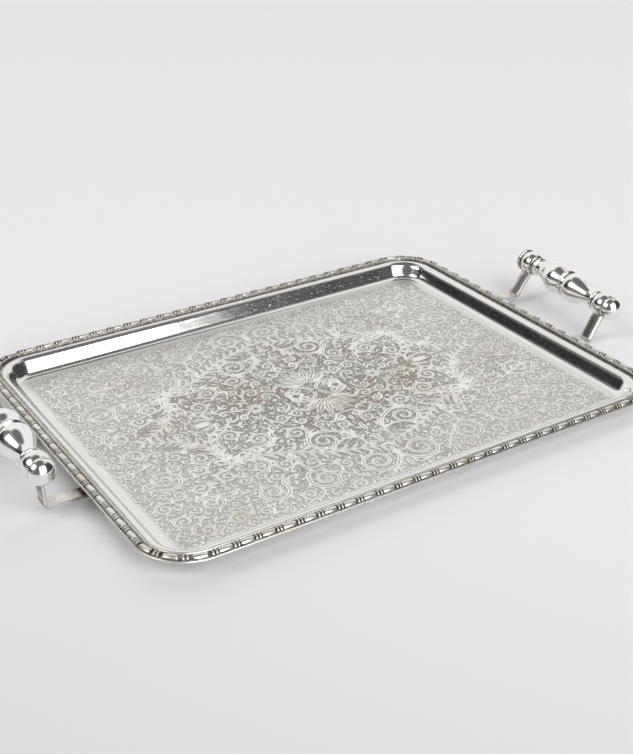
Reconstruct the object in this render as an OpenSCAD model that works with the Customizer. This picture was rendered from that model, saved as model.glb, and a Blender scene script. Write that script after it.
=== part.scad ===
// Two-handled rectangular serving tray in silver plate.
// X runs along the length, Y across the width and Z up.
// The origin is the middle of the tray's underside.

/* [Tray] */
// Length of the tray over its rim, without the handles
tray_l = 400; // [330:5:500]
// Width of the tray over its rim
tray_w = 306; // [250:2:400]
// Outside radius of the rim's corners
corner_r = 36; // [32:1:60]
// Thickness of the pressed sheet
sheet_t = 1.2; // [0.8:0.1:1.8]
// Inside radius of the cove between floor and wall
cove_r = 7.4; // [6:0.2:12]
// Straight height of the wall above the cove
wall_h = 0.4; // [0.2:0.2:10]
// Outside radius of the roll from wall to flange
roll_r = 4; // [2:0.1:5]
// Flat width of the flange, from the edge wire to the roll
flange_w = 10.2; // [9:0.2:14]
// Film of solder between soldered pieces
solder_gap = 0.05; // [0.02:0.01:0.2]

/* [Edge wire] */
// Height of the wire, which is also the diameter of its round face
wire_d = 1.5; // [1.3:0.1:1.9]
// Flat depth of the wire behind its round face
wire_back = 0.2; // [0.2:0.1:1]
// Height of the wire's top above the flange
wire_lift = 0.15; // [0.1:0.05:0.4]

/* [Border] */
// Width of the applied border strip
border_w = 7.6; // [7.2:0.1:8.6]
// Thickness of the strip under its ornament
border_t = 0.6; // [0.4:0.1:1.2]
// Spacing of the beads along the border, before it is fitted to each side
bead_pitch = 14.55; // [14:0.05:24]
// Length of a bead
bead_l = 8.8; // [6:0.2:9.2]
// Radius of a bead at its middle
bead_r = 2.5; // [2.2:0.1:2.6]
// Radius of a bead at its ends
bead_end_r = 2.1; // [1.4:0.1:2.2]
// Depth of the bead's axis below the top of the strip
bead_sink = 0.9; // [0.4:0.1:1.2]
// Distance from the strip's outer edge to the bead's axis
bead_inset = 2.6; // [2.6:0.1:2.9]
// Radius of the ribs between the beads
rib_r = 2.6; // [2.2:0.1:2.7]
// Thickness of a rib
rib_t = 1.2; // [0.5:0.1:1.4]
// Gap between the two ribs of a pair
rib_gap = 1.2; // [1.1:0.1:1.6]
// Radius of the plain fillet inside the beads
fillet_r = 1.2; // [0.7:0.1:1.3]
// Distance from the strip's outer edge to the fillet's axis
fillet_inset = 6.3; // [5.8:0.1:6.5]

/* [Brackets] */
// Width of the bracket strips
strip_w = 10.5; // [8.5:0.5:11.5]
// Thickness of the bracket strips
strip_t = 2; // [1.8:0.1:2.4]
// Length of a strip from the rim round the bend to the grip's axis
strip_run = 53.5; // [51:0.5:70]
// Reach of the left handle's feet, from the rim to the bend
left_reach = 25; // [20:0.5:27]
// Reach of the right handle's feet, from the rim to the bend
right_reach = 23; // [20:0.5:24]
// Distance from the rim's edge in to the soldered seat of each foot
seat_in = 3; // [2:0.5:4]
// Length of each seat soldered under the flange
seat_l = 6.6; // [5:0.2:7]
// Height of the soldered seat above the foot
seat_h = 2.6; // [2:0.1:3]
// Inside radius of the bend between foot and upright
bend_r = 1.5; // [1:0.5:4]
// Distance between the middles of the two brackets of a handle
bracket_span = 87.5; // [76:0.5:110]
// Downward bend of the left handle's feet at the rim
left_sag = 0; // [0:1:8]
// Downward bend of the right handle's front foot at the rim
right_front_sag = 18; // [0:1:18]
// Downward bend of the right handle's back foot at the rim
right_back_sag = 6; // [0:1:18]
// Outward lean of the left handle's uprights
left_lean = 2; // [0:1:30]
// Outward lean of the right handle's front upright
right_front_lean = 31; // [0:1:40]
// Outward lean of the right handle's back upright
right_back_lean = 37; // [0:1:40]
// Distance from the grip's axis down to the shoulders of each upright
shoulder_drop = 8; // [7:0.1:8.4]
// Width of the tongue that enters the boss
tongue_w = 7; // [5:0.5:8]
// Thickness of the tongue, thinner than the strip
tongue_t = 1.6; // [0.8:0.1:1.8]
// Distance from the grip's axis down to the end of the tongue
tongue_drop = 3.4; // [2.8:0.1:5]
// Gap round the tongue in its slot and under the boss
slot_gap = 0.15; // [0.05:0.05:0.3]

/* [Grips] */
// Largest radius of the grip
grip_r = 12.2; // [10:0.1:14]
// Radius of the grip at its middle
waist_r = 9.8; // [7:0.1:10]
// Radius of the neck before each boss
neck_r = 6.2; // [4.6:0.1:8]
// Distance from the grip's middle to its largest radius
lobe_at = 9.5; // [6:0.5:14]
// Distance from the grip's end to its neck
neck_l = 6.6; // [5:0.1:9]
// Radius of the round ring at the grip's middle
ring_r = 1.2; // [0.8:0.1:2]
// Radius of the round collar beside each boss
collar_r = 1.7; // [1:0.1:2]
// Distance from the grip's end to its collar
collar_at = 2.8; // [2.2:0.1:3.2]
// Radius of the ball bosses
boss_r = 9.8; // [9:0.1:11.5]
// Length of a boss between its flat faces
boss_l = 12.4; // [12:0.1:16]
// Radius of the end knobs
knob_r = 9.2; // [7:0.1:9.6]
// Length of an end knob from the boss to its tip
knob_l = 9.5; // [8:0.1:14]
// Diameter of the tie rod through each grip
rod_d = 4; // [3:0.1:4.4]
// Gap round the tie rod in its bores
rod_gap = 0.3; // [0.1:0.05:0.5]
// Depth of the tie rod in each end knob
rod_in = 6; // [4:0.5:7]

/* [Hidden] */
$fn = 96;
silver = [0.82, 0.81, 0.78];
old_silver = [0.7, 0.68, 0.63];
steel = [0.62, 0.62, 0.63];

// Section of the tray, measured inwards from the rim's edge and up from the table
wire_w = wire_d / 2 + wire_back + solder_gap;
roll_u = wire_w + flange_w;
wall_u = roll_u + roll_r;
floor_u = wall_u + cove_r;
cove_z = sheet_t + cove_r;
roll_z = cove_z + wall_h;
rim_h = roll_z + roll_r;
seat_z = rim_h - sheet_t;
wire_z = rim_h + wire_lift - wire_d / 2;
strip_z = rim_h + solder_gap;

// Handles
foot_z = seat_z - solder_gap - seat_h - strip_t / 2;
bend_mid = bend_r + strip_t / 2;
half_span = bracket_span / 2;
grip_half = half_span - boss_l / 2;
knob_face = half_span + boss_l / 2;
bore_r = rod_d / 2 + rod_gap;
curve_steps = 12;
spare = 1;

// Places a side so that X runs along it and Y points inwards from the rim's edge.
// 0 front, 1 right, 2 back, 3 left
module on_side(side) {
  rotate(90 * side) translate([0, -(side % 2 == 0 ? tray_w : tray_l) / 2, 0]) children();
}

// Places a corner with its centre at the origin.
// 0 back right, 1 back left, 2 front left, 3 front right
module on_corner(corner) {
  x = (corner == 0 || corner == 3 ? 1 : -1) * (tray_l / 2 - corner_r);
  y = (corner < 2 ? 1 : -1) * (tray_w / 2 - corner_r);
  translate([x, y, 0]) rotate(90 * corner) children();
}

function straight(side) = (side % 2 == 0 ? tray_l : tray_w) - 2 * corner_r;

// Runs a section, drawn inwards from the rim's edge, along one side
module run_side(side) {
  on_side(side) rotate([90, 0, 90]) linear_extrude(straight(side), center = true) children();
}

// Runs the same section round one corner
module run_corner(corner) {
  on_corner(corner) rotate_extrude(angle = 90) translate([corner_r, 0]) mirror([1, 0]) children();
}

module run_round() {
  for (i = [0:3]) {
    run_side(i) children();
    run_corner(i) children();
  }
}

module quarter_ring(outer, inner) {
  intersection() {
    difference() {
      circle(outer);
      circle(inner);
    }
    square(outer);
  }
}

module wall_section() {
  translate([wire_w, seat_z]) square([flange_w, sheet_t]);
  translate([roll_u, roll_z]) quarter_ring(roll_r, roll_r - sheet_t);
  translate([wall_u - sheet_t, cove_z]) square([sheet_t, wall_h]);
  translate([floor_u, cove_z]) rotate(180) quarter_ring(cove_r + sheet_t, cove_r);
}

module floor_outline() {
  r = corner_r - floor_u;
  x = tray_l / 2 - corner_r;
  y = tray_w / 2 - corner_r;
  square([2 * x, 2 * (y + r)], center = true);
  square([2 * (x + r), 2 * y], center = true);
  for (sx = [-1, 1], sy = [-1, 1]) translate([sx * x, sy * y]) circle(r);
}

module tray_body() {
  color(silver) {
    run_round() wall_section();
    linear_extrude(sheet_t) floor_outline();
  }
}

module edge_wire() {
  color(silver) run_round() translate([wire_d / 2, wire_z]) intersection() {
    union() {
      circle(wire_d / 2);
      translate([0, -wire_d / 2]) square([wire_back, wire_d]);
    }
    translate([-wire_d / 2, -wire_d / 2]) square([wire_d / 2 + wire_back, wire_d]);
  }
}

// Section of the border strip: flat back with one plain fillet
module strip_section() {
  translate([wire_w, strip_z]) {
    square([border_w, border_t]);
    intersection() {
      translate([fillet_inset, 0]) circle(fillet_r);
      square([border_w, fillet_r]);
    }
  }
}

module bead_profile() {
  swell = bead_r - bead_end_r;
  arc_r = (pow(bead_l / 2, 2) + pow(swell, 2)) / (2 * swell);
  intersection() {
    translate([bead_r - arc_r, 0]) circle(arc_r);
    translate([0, -bead_l / 2]) square([bead_r, bead_l]);
  }
}

// Beads along X with a rib at each end of every cell, cut off at the flange
module bead_row(length, count) {
  cell = length / count;
  rib_at = cell / 2 - rib_gap / 2 - rib_t;
  translate([0, wire_w, strip_z]) intersection() {
    translate([0, bead_inset, border_t - bead_sink]) rotate([0, 90, 0]) rotate_extrude() {
      for (i = [0:count - 1]) translate([0, (i + 0.5) * cell - length / 2]) {
        bead_profile();
        translate([0, rib_at]) square([rib_r, rib_t]);
        translate([0, -rib_at - rib_t]) square([rib_r, rib_t]);
      }
    }
    translate([-length / 2, 0, 0]) cube([length, border_w, border_t + rib_r + bead_r]);
  }
}

module border_side(side) {
  color(old_silver) {
    run_side(side) strip_section();
    on_side(side) bead_row(straight(side), round(straight(side) / bead_pitch));
  }
}

module border_corner(corner) {
  axis_r = corner_r - wire_w - bead_inset;
  arc_l = axis_r * PI / 2;
  count = max(1, round(arc_l / bead_pitch));
  color(old_silver) {
    run_corner(corner) strip_section();
    on_corner(corner) intersection() {
      for (i = [0:count - 1]) {
        rotate(90 * (i + 0.5) / count + 90) translate([0, -corner_r, 0]) bead_row(arc_l / count, 1);
      }
      cylinder(h = 2 * rim_h, r = corner_r - wire_w);
      cube([corner_r, corner_r, 2 * rim_h]);
    }
  }
}

// Bends of a bracket. Side -1 left, 1 right, end -1 front, 1 back
function sag(side, end) = side < 0 ? left_sag : end < 0 ? right_front_sag : right_back_sag;
function lean(side, end) = side < 0 ? left_lean : end < 0 ? right_front_lean : right_back_lean;
function reach(side) = side < 0 ? left_reach : right_reach;
function rise(side) = strip_run - reach(side);

// Middle of a boss, out from the rim's edge and up from the foot
function boss_out(side, end) = reach(side) * cos(sag(side, end)) + rise(side) * sin(lean(side, end));
function boss_up(side, end) = rise(side) * cos(lean(side, end)) - reach(side) * sin(sag(side, end));

// How far the grip runs outwards and upwards from its middle to its back boss
function splay(side) = (boss_out(side, 1) - boss_out(side, -1)) / 2;
function tilt(side) = (boss_up(side, 1) - boss_up(side, -1)) / 2;
function boss_y(side) = sqrt(pow(half_span, 2) - pow(splay(side), 2) - pow(tilt(side), 2));

// Places a handle so that X points out from the rim's edge at the height of the feet
module on_handle(side) {
  mirror([side < 0 ? 1 : 0, 0, 0]) translate([tray_l / 2, 0, foot_z]) children();
}

// Places a piece in the middle of a boss, with Z along its upright
module on_boss(side, end) {
  on_handle(side) translate([boss_out(side, end), end * boss_y(side), boss_up(side, end)])
    rotate([0, lean(side, end), 0]) children();
}

// Places a piece in the middle of a grip, with Y along it
module on_grip(side) {
  on_handle(side)
    translate([boss_out(side, 1) - splay(side), 0, boss_up(side, 1) - tilt(side)])
      rotate([asin(tilt(side) / half_span), 0, -atan2(splay(side), boss_y(side))]) children();
}

// Side view of one bracket strip, from its soldered seat to its shoulders
module bracket_section(side, end) {
  half = strip_t / 2;
  droop = sag(side, end);
  turn = 90 - lean(side, end) + droop;
  bend_l = bend_mid * tan(turn / 2);
  foot_l = reach(side) - bend_l;
  upright_l = rise(side) - bend_l - shoulder_drop;
  along = [cos(droop), -sin(droop)];
  centre = foot_l * along + bend_mid * [sin(droop), cos(droop)];
  top = upright_l * [sin(lean(side, end)), cos(lean(side, end))];
  mitre = half * tan(droop / 2);
  angles = [for (i = [0:curve_steps]) turn * i / curve_steps - droop];
  outer = [for (a = angles) centre + (bend_r + strip_t) * [sin(a), -cos(a)]];
  inner = [for (i = [curve_steps:-1:0]) centre + bend_r * [sin(angles[i]), -cos(angles[i])]];
  polygon(concat(
    [[-seat_in - seat_l, -half], [-mitre, -half]],
    outer, [outer[curve_steps] + top, inner[0] + top], inner,
    [[mitre, half], [-seat_in, half], [-seat_in, half + seat_h], [-seat_in - seat_l, half + seat_h]]
  ));
}

module bracket(side, end) {
  color(silver) {
    difference() {
      on_handle(side) translate([0, end * boss_y(side), 0]) rotate([90, 0, 0])
        linear_extrude(strip_w, center = true) bracket_section(side, end);
      on_boss(side, end) sphere(boss_r + slot_gap);
    }
    on_boss(side, end) translate([-tongue_t / 2, -tongue_w / 2, -boss_r - strip_t])
      cube([tongue_t, tongue_w, boss_r + strip_t - tongue_drop]);
  }
}

function ease(from, to, t) = from + (to - from) * (1 - cos(180 * t)) / 2;

// Half of the turned grip: radius across, distance from the middle up
module grip_half_profile() {
  neck_at = grip_half - neck_l;
  swell = [for (i = [0:curve_steps]) [ease(waist_r, grip_r, i / curve_steps), lobe_at * i / curve_steps]];
  taper = [for (i = [1:curve_steps])
    [ease(grip_r, neck_r, i / curve_steps), lobe_at + (neck_at - lobe_at) * i / curve_steps]];
  polygon(concat([[0, 0]], swell, taper, [[neck_r, grip_half], [0, grip_half]]));
  translate([neck_r, grip_half - collar_at]) circle(collar_r);
}

module grip(side) {
  color(silver) on_grip(side) rotate([-90, 0, 0]) difference() {
    rotate_extrude() {
      grip_half_profile();
      mirror([0, 1]) grip_half_profile();
      translate([waist_r, 0]) circle(ring_r);
    }
    cylinder(h = bracket_span, r = bore_r, center = true);
  }
}

module boss(side, end) {
  color(silver) difference() {
    on_grip(side) translate([0, end * half_span, 0]) rotate([-90, 0, 0]) rotate_extrude() intersection() {
      circle(boss_r);
      translate([bore_r, -boss_l / 2]) square([boss_r, boss_l]);
    }
    on_boss(side, end)
      translate([-tongue_t / 2 - slot_gap, -tongue_w / 2 - slot_gap, -boss_r - spare])
        cube([tongue_t + 2 * slot_gap, tongue_w + 2 * slot_gap, boss_r + spare - tongue_drop + slot_gap]);
  }
}

module end_knob(side, end) {
  color(silver) on_grip(side) mirror([0, end < 0 ? 1 : 0, 0]) translate([0, knob_face, 0]) {
    rotate([-90, 0, 0]) rotate_extrude() difference() {
      intersection() {
        translate([0, knob_l - knob_r]) circle(knob_r);
        square([knob_r, knob_l]);
      }
      square([bore_r, rod_in + rod_gap]);
    }
  }
}

module tie_rod(side) {
  color(steel) on_grip(side) rotate([90, 0, 0])
    cylinder(h = 2 * (knob_face + rod_in), r = rod_d / 2, center = true);
}

tray_body();
edge_wire();
border_side(0);  // border_front
border_side(1);  // border_right
border_side(2);  // border_back
border_side(3);  // border_left
border_corner(0);  // border_corner_back_right
border_corner(1);  // border_corner_back_left
border_corner(2);  // border_corner_front_left
border_corner(3);  // border_corner_front_right
bracket(-1, -1);  // bracket_left_front
bracket(-1, 1);  // bracket_left_back
bracket(1, -1);  // bracket_right_front
bracket(1, 1);  // bracket_right_back
grip(-1);  // grip_left
grip(1);  // grip_right
boss(-1, -1);  // boss_left_front
boss(-1, 1);  // boss_left_back
boss(1, -1);  // boss_right_front
boss(1, 1);  // boss_right_back
end_knob(-1, -1);  // end_knob_left_front
end_knob(-1, 1);  // end_knob_left_back
end_knob(1, -1);  // end_knob_right_front
end_knob(1, 1);  // end_knob_right_back
tie_rod(-1);  // tie_rod_left
tie_rod(1);  // tie_rod_right
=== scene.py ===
import math
import random

import bmesh
import bpy
from mathutils import Matrix, Vector


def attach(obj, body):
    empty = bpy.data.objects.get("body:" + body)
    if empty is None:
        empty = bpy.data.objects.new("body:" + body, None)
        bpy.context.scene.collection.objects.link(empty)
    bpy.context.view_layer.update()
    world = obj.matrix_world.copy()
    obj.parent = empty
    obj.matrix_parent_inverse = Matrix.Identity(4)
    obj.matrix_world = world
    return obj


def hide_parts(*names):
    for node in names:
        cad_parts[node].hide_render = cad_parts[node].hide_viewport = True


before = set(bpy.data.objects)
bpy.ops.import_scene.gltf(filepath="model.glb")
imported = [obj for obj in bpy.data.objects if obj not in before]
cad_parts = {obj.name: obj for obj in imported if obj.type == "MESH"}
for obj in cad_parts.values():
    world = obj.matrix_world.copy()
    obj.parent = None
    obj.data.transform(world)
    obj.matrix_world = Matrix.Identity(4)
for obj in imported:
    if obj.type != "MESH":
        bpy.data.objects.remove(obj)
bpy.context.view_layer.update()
scene = bpy.context.scene
scene.view_settings.view_transform = "Standard"
print("frame loaded")

# everything below is drawn in millimetres and shrunk once, in settle()
tray = {
    "length": 400, "width": 306, "corner": 36,
    "flangeTop": 13.0, "sheet": 1.2, "wireInset": 1.0,
    "rollAt": 9.7, "rollRadius": 7.0, "wallSlope": 66, "darkBandTo": 9.6,
    "floorInset": 23.4, "cornerSteps": 20,
}
halfX = tray["length"] / 2 - tray["corner"]
halfY = tray["width"] / 2 - tray["corner"]


def feed(tree, socket, value):
    if isinstance(value, bpy.types.NodeSocket):
        tree.links.new(value, socket)
    else:
        socket.default_value = value


def addNode(tree, kind, inputs=None, **settings):
    node = tree.nodes.new(kind)
    for name, value in settings.items():
        setattr(node, name, value)
    for name, value in (inputs or {}).items():
        feed(tree, node.inputs[name], value)
    return node


def mixColour(tree, factor, first, second, blend="MIX"):
    node = addNode(tree, "ShaderNodeMix", data_type="RGBA", blend_type=blend)
    feed(tree, node.inputs[0], factor)
    feed(tree, node.inputs[6], first)
    feed(tree, node.inputs[7], second)
    return node.outputs[2]


def remap(tree, value, low, high, toLow=0.0, toHigh=1.0, smooth=False):
    node = addNode(tree, "ShaderNodeMapRange", interpolation_type="SMOOTHSTEP" if smooth else "LINEAR")
    for socket, number in zip(node.inputs, (value, low, high, toLow, toHigh)):
        feed(tree, socket, number)
    return node.outputs[0]


def maths(tree, operation, first, second=0.0, clamp=False):
    node = addNode(tree, "ShaderNodeMath", operation=operation, use_clamp=clamp)
    feed(tree, node.inputs[0], first)
    feed(tree, node.inputs[1], second)
    return node.outputs[0]


def noise(tree, place, scale, detail=3.0, rough=0.55):
    return addNode(tree, "ShaderNodeTexNoise", {
        "Vector": place, "Scale": scale, "Detail": detail, "Roughness": rough}).outputs["Fac"]


def stretched(tree, place, turn, scale):
    return addNode(tree, "ShaderNodeMapping", {
        "Vector": place, "Rotation": (0, 0, math.radians(turn)), "Scale": scale}).outputs["Vector"]


def startMaterial(name):
    material = bpy.data.materials.new(name)
    material.use_nodes = True
    tree = material.node_tree
    place = addNode(tree, "ShaderNodeTexCoord").outputs["Object"]
    return material, tree, tree.nodes["Principled BSDF"], place


# silver plate: clean metal, warm clouds, and dark brown where the piece's own attribute asks for it:
# tarnish, together with painted shade and painted dark reflection on some pieces
def silverPlate(name, look):
    material, tree, shader, place = startMaterial(name)
    cloud = noise(tree, place, look["cloudScale"], 4.0)
    warm = remap(tree, cloud, 0.45, 0.72, 0.0, look["warmth"])
    colour = mixColour(tree, warm, look["clean"], look["warm"])
    spots = noise(tree, place, look["spotScale"], 3.0, 0.6)
    colour = mixColour(tree, remap(tree, spots, 0.62, 0.72, 0.0, look["spots"]), colour, look["spot"])
    # the attribute carries tarnish and painted shade; its dark brown is mixed into the colour below
    darkening = addNode(tree, "ShaderNodeAttribute", attribute_name="tarnish_and_shade").outputs["Fac"]
    grain = noise(tree, place, look["spotScale"] * 4.0, 4.0)
    darkening = remap(tree, darkening, *look["edge"])
    stainAndShade = maths(tree, "MULTIPLY", darkening, remap(tree, grain, 0.25, 0.6, 0.45, 1.0), True)
    colour = mixColour(tree, stainAndShade, colour, look["stainAndShade"])
    feed(tree, shader.inputs["Base Color"], colour)
    shader.inputs["Metallic"].default_value = 1.0
    fine = noise(tree, stretched(tree, place, 24, (260, 3200, 900)), 1.0, 2.0)
    cross = noise(tree, stretched(tree, place, -51, (300, 3600, 900)), 1.0, 2.0)
    scratch = maths(tree, "MAXIMUM", remap(tree, fine, 0.66, 0.74), remap(tree, cross, 0.67, 0.75))
    rough = remap(tree, cloud, 0.3, 0.75, *look["rough"])
    rough = maths(tree, "ADD", rough, maths(tree, "MULTIPLY", scratch, look["scratch"]))
    rough = maths(tree, "ADD", rough, maths(tree, "MULTIPLY", stainAndShade, 0.25), True)
    feed(tree, shader.inputs["Roughness"], rough)
    wave = noise(tree, place, look["waveScale"], 1.0)
    bump = addNode(tree, "ShaderNodeBump", {
        "Strength": look["wave"], "Distance": 0.0006, "Height": wave})
    marks = addNode(tree, "ShaderNodeBump", {
        "Strength": 0.05, "Distance": 0.00004, "Height": scratch,
        "Normal": bump.outputs["Normal"]}, invert=True)
    feed(tree, shader.inputs["Normal"], marks.outputs["Normal"])
    return material


# punched ground between the scrolls: pits and brown patches,
# darker in the middle and gone at the field's edge
def mattedGround(name, look):
    material, tree, shader, place = startMaterial(name)
    cells = addNode(tree, "ShaderNodeTexVoronoi", {
        "Vector": place, "Scale": look["pitScale"], "Randomness": 0.9})
    pit = remap(tree, cells.outputs["Distance"], 0.26, 0.46)
    oval = addNode(tree, "ShaderNodeVectorMath", {0: place, 1: look["oval"]}, operation="MULTIPLY")
    oval = oval.outputs["Vector"]
    reach = addNode(tree, "ShaderNodeVectorMath", {0: oval}, operation="LENGTH").outputs["Value"]
    cloud = noise(tree, place, look["cloudScale"], 4.0)
    reach = maths(tree, "ADD", reach, remap(tree, cloud, 0.3, 0.7, -0.35, 0.35))
    middle = remap(tree, reach, 0.3, 1.3, 1.0, 0.0, True)
    x, y, z = addNode(tree, "ShaderNodeSeparateXYZ", {0: place}).outputs
    insideX, insideY = (
        remap(tree, maths(tree, "ABSOLUTE", along), edge, edge - look["fade"])
        for along, edge in zip((x, y), look["edge"]))
    inside = maths(tree, "MULTIPLY", insideX, insideY)
    warm = remap(tree, noise(tree, place, look["cloudScale"] * 0.7, 4.0), 0.46, 0.64)
    warm = maths(tree, "MULTIPLY", warm, remap(tree, middle, 0.0, 1.0, 0.25, 1.0))
    base = mixColour(tree, middle, look["pale"], look["dark"])
    base = mixColour(tree, maths(tree, "MULTIPLY", warm, look["warmth"]), base, look["warm"])
    base = mixColour(tree, inside, look["rim"], base)
    strength = remap(tree, middle, 0.0, 1.0, look["pitPale"], look["pitDark"])
    depth = maths(tree, "MULTIPLY", pit, strength, True)
    depth = maths(tree, "MULTIPLY", depth, inside)
    colour = mixColour(tree, depth, base, mixColour(tree, warm, look["pit"], look["pitBrown"]))
    feed(tree, shader.inputs["Base Color"], colour)
    shader.inputs["Metallic"].default_value = 1.0
    feed(tree, shader.inputs["Roughness"], remap(tree, cloud, 0.3, 0.7, *look["rough"]))
    bump = addNode(tree, "ShaderNodeBump", {
        "Strength": look["bump"], "Distance": 0.0002, "Height": depth}, invert=True)
    feed(tree, shader.inputs["Normal"], bump.outputs["Normal"])
    return material


traySilver = silverPlate("tray_silver_plate", {
    "clean": (0.83, 0.82, 0.80, 1), "warm": (0.78, 0.72, 0.62, 1), "warmth": 0.25, "cloudScale": 14,
    "spot": (0.62, 0.52, 0.38, 1), "spots": 0.12, "spotScale": 60,
    "stainAndShade": (0.075, 0.06, 0.045, 1), "edge": (0.0, 1.0),
    "rough": (0.08, 0.17), "scratch": 0.4, "waveScale": 70, "wave": 0.09})
borderSilver = silverPlate("border_silver_plate", {
    "clean": (0.84, 0.83, 0.80, 1), "warm": (0.70, 0.62, 0.48, 1), "warmth": 0.45, "cloudScale": 45,
    "spot": (0.50, 0.38, 0.20, 1), "spots": 0.45, "spotScale": 90,
    "stainAndShade": (0.095, 0.077, 0.056, 1), "edge": (0.0, 1.0),
    "rough": (0.24, 0.36), "scratch": 0.10, "waveScale": 260, "wave": 0.10})
handleSilver = silverPlate("handle_silver_plate", {
    "clean": (0.90, 0.89, 0.87, 1), "warm": (0.70, 0.62, 0.50, 1), "warmth": 0.45, "cloudScale": 60,
    "spot": (0.55, 0.44, 0.28, 1), "spots": 0.3, "spotScale": 110,
    "stainAndShade": (0.13, 0.095, 0.06, 1), "edge": (0.0, 1.0),
    "rough": (0.10, 0.2), "scratch": 0.15, "waveScale": 150, "wave": 0.08})
scrollSilver = silverPlate("scroll_silver_plate", {
    "clean": (0.91, 0.90, 0.87, 1), "warm": (0.78, 0.71, 0.61, 1), "warmth": 0.6, "cloudScale": 22,
    "spot": (0.62, 0.52, 0.38, 1), "spots": 0.25, "spotScale": 70,
    "stainAndShade": (0.10, 0.09, 0.075, 1), "edge": (0.0, 0.6),
    "rough": (0.26, 0.40), "scratch": 0.08, "waveScale": 400, "wave": 0.10})
groundSilver = mattedGround("matted_ground", {
    "pale": (0.93, 0.92, 0.90, 1), "dark": (0.80, 0.78, 0.74, 1), "rim": (0.88, 0.87, 0.85, 1),
    "warm": (0.60, 0.52, 0.43, 1), "warmth": 0.7,
    "pit": (0.14, 0.13, 0.115, 1), "pitBrown": (0.17, 0.13, 0.095, 1),
    "pitPale": 0.46, "pitDark": 0.72, "pitScale": 470, "bump": 0.5,
    "edge": (0.1742, 0.1262), "fade": 0.004, "oval": (7.2, 9.6, 0.0),
    "cloudScale": 26, "rough": (0.34, 0.5)})


def steelRod(name):
    material, tree, shader, place = startMaterial(name)
    lines = noise(tree, stretched(tree, place, 0, (900, 25, 900)), 1.0, 3.0)
    colour = mixColour(tree, lines, (0.5, 0.5, 0.51, 1), (0.66, 0.66, 0.67, 1))
    feed(tree, shader.inputs["Base Color"], colour)
    shader.inputs["Metallic"].default_value = 1.0
    feed(tree, shader.inputs["Roughness"], remap(tree, lines, 0.3, 0.7, 0.3, 0.45))
    return material


rodSteel = steelRod("tie_rod_steel")
for node in ("tie_rod_left", "tie_rod_right"):
    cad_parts[node].data.materials.clear()
    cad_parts[node].data.materials.append(rodSteel)
print("materials ready")


# closes a piece: merge, turn the faces out, shrink to metres, hang it on the CAD body
def settle(bm, name, material, nodes=(), sharp=38, turnOut=True):
    bmesh.ops.remove_doubles(bm, verts=bm.verts, dist=0.002)
    if turnOut:
        bmesh.ops.recalc_face_normals(bm, faces=bm.faces)
    bmesh.ops.scale(bm, vec=(0.001, 0.001, 0.001), verts=bm.verts)
    mesh = bpy.data.meshes.new(name)
    bm.to_mesh(mesh)
    bm.free()
    mesh.materials.append(material)
    mesh.polygons.foreach_set("use_smooth", [True] * len(mesh.polygons))
    mesh.set_sharp_from_angle(angle=math.radians(sharp))
    piece = bpy.data.objects.new(name, mesh)
    scene.collection.objects.link(piece)
    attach(piece, "root")
    if nodes:
        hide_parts(*nodes)
    return piece


def grownParts(grown):
    verts = [part for part in grown if isinstance(part, bmesh.types.BMVert)]
    fresh = set(verts)
    edges = [part for part in grown
             if isinstance(part, bmesh.types.BMEdge) and fresh.issuperset(part.verts)]
    return verts, edges


# runs a section, given as (inset from the rim, height), along the four sides and round the corners
def runRound(bm, section, closed=False):
    verts = [bm.verts.new((-halfX, -tray["width"] / 2 + inset, height)) for inset, height in section]
    edges = [bm.edges.new(pair) for pair in zip(verts, verts[1:])]
    if closed:
        edges.append(bm.edges.new((verts[-1], verts[0])))
    centres = ((halfX, -halfY), (halfX, halfY), (-halfX, halfY), (-halfX, -halfY))
    steps = ((2 * halfX, 0, 0), (0, 2 * halfY, 0), (-2 * halfX, 0, 0), (0, -2 * halfY, 0))
    for centre, step in zip(centres, steps):
        grown = bmesh.ops.extrude_edge_only(bm, edges=edges)["geom"]
        verts, edges = grownParts(grown)
        bmesh.ops.translate(bm, vec=step, verts=verts)
        last = bmesh.ops.spin(bm, geom=verts + edges, cent=(*centre, 0), axis=(0, 0, 1),
                              angle=math.pi / 2, steps=tray["cornerSteps"])["geom_last"]
        verts, edges = grownParts(last)
    bmesh.ops.remove_doubles(bm, verts=bm.verts, dist=0.002)


def arc(centre, radius, start, end, count):
    angles = [math.radians(start + (end - start) * i / count) for i in range(count + 1)]
    return [(centre[0] + radius * math.cos(a), centre[1] + radius * math.sin(a)) for a in angles]


# one face of the pressed sheet: flange, roll, sloping wall and cove;
# a depth of 0 is the top, and the sheet's thickness is the underside
def sheetSide(depth):
    slope = math.radians(tray["wallSlope"])
    rollTop = tray["flangeTop"] - tray["rollRadius"]
    floorTop = tray["sheet"]
    run = tray["rollRadius"] * math.sin(slope)
    rise = rollTop + tray["rollRadius"] * math.cos(slope) - floorTop
    foot = tray["rollAt"] + run + rise / math.tan(slope)
    cove = (tray["floorInset"] - foot) / math.tan(slope / 2)
    flange = (tray["wireInset"], tray["darkBandTo"] - 0.6, tray["darkBandTo"])
    line = [(inset, tray["flangeTop"] - depth) for inset in flange]
    line += arc((tray["rollAt"], rollTop), tray["rollRadius"] - depth, 90, 90 - tray["wallSlope"], 12)
    line += arc((tray["floorInset"], floorTop + cove), cove + depth, 270 - tray["wallSlope"], 270, 16)
    return line


# how far in from the rim a point lies
def rimInset(place):
    return tray["corner"] - math.hypot(max(abs(place.x) - halfX, 0), max(abs(place.y) - halfY, 0))


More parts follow.
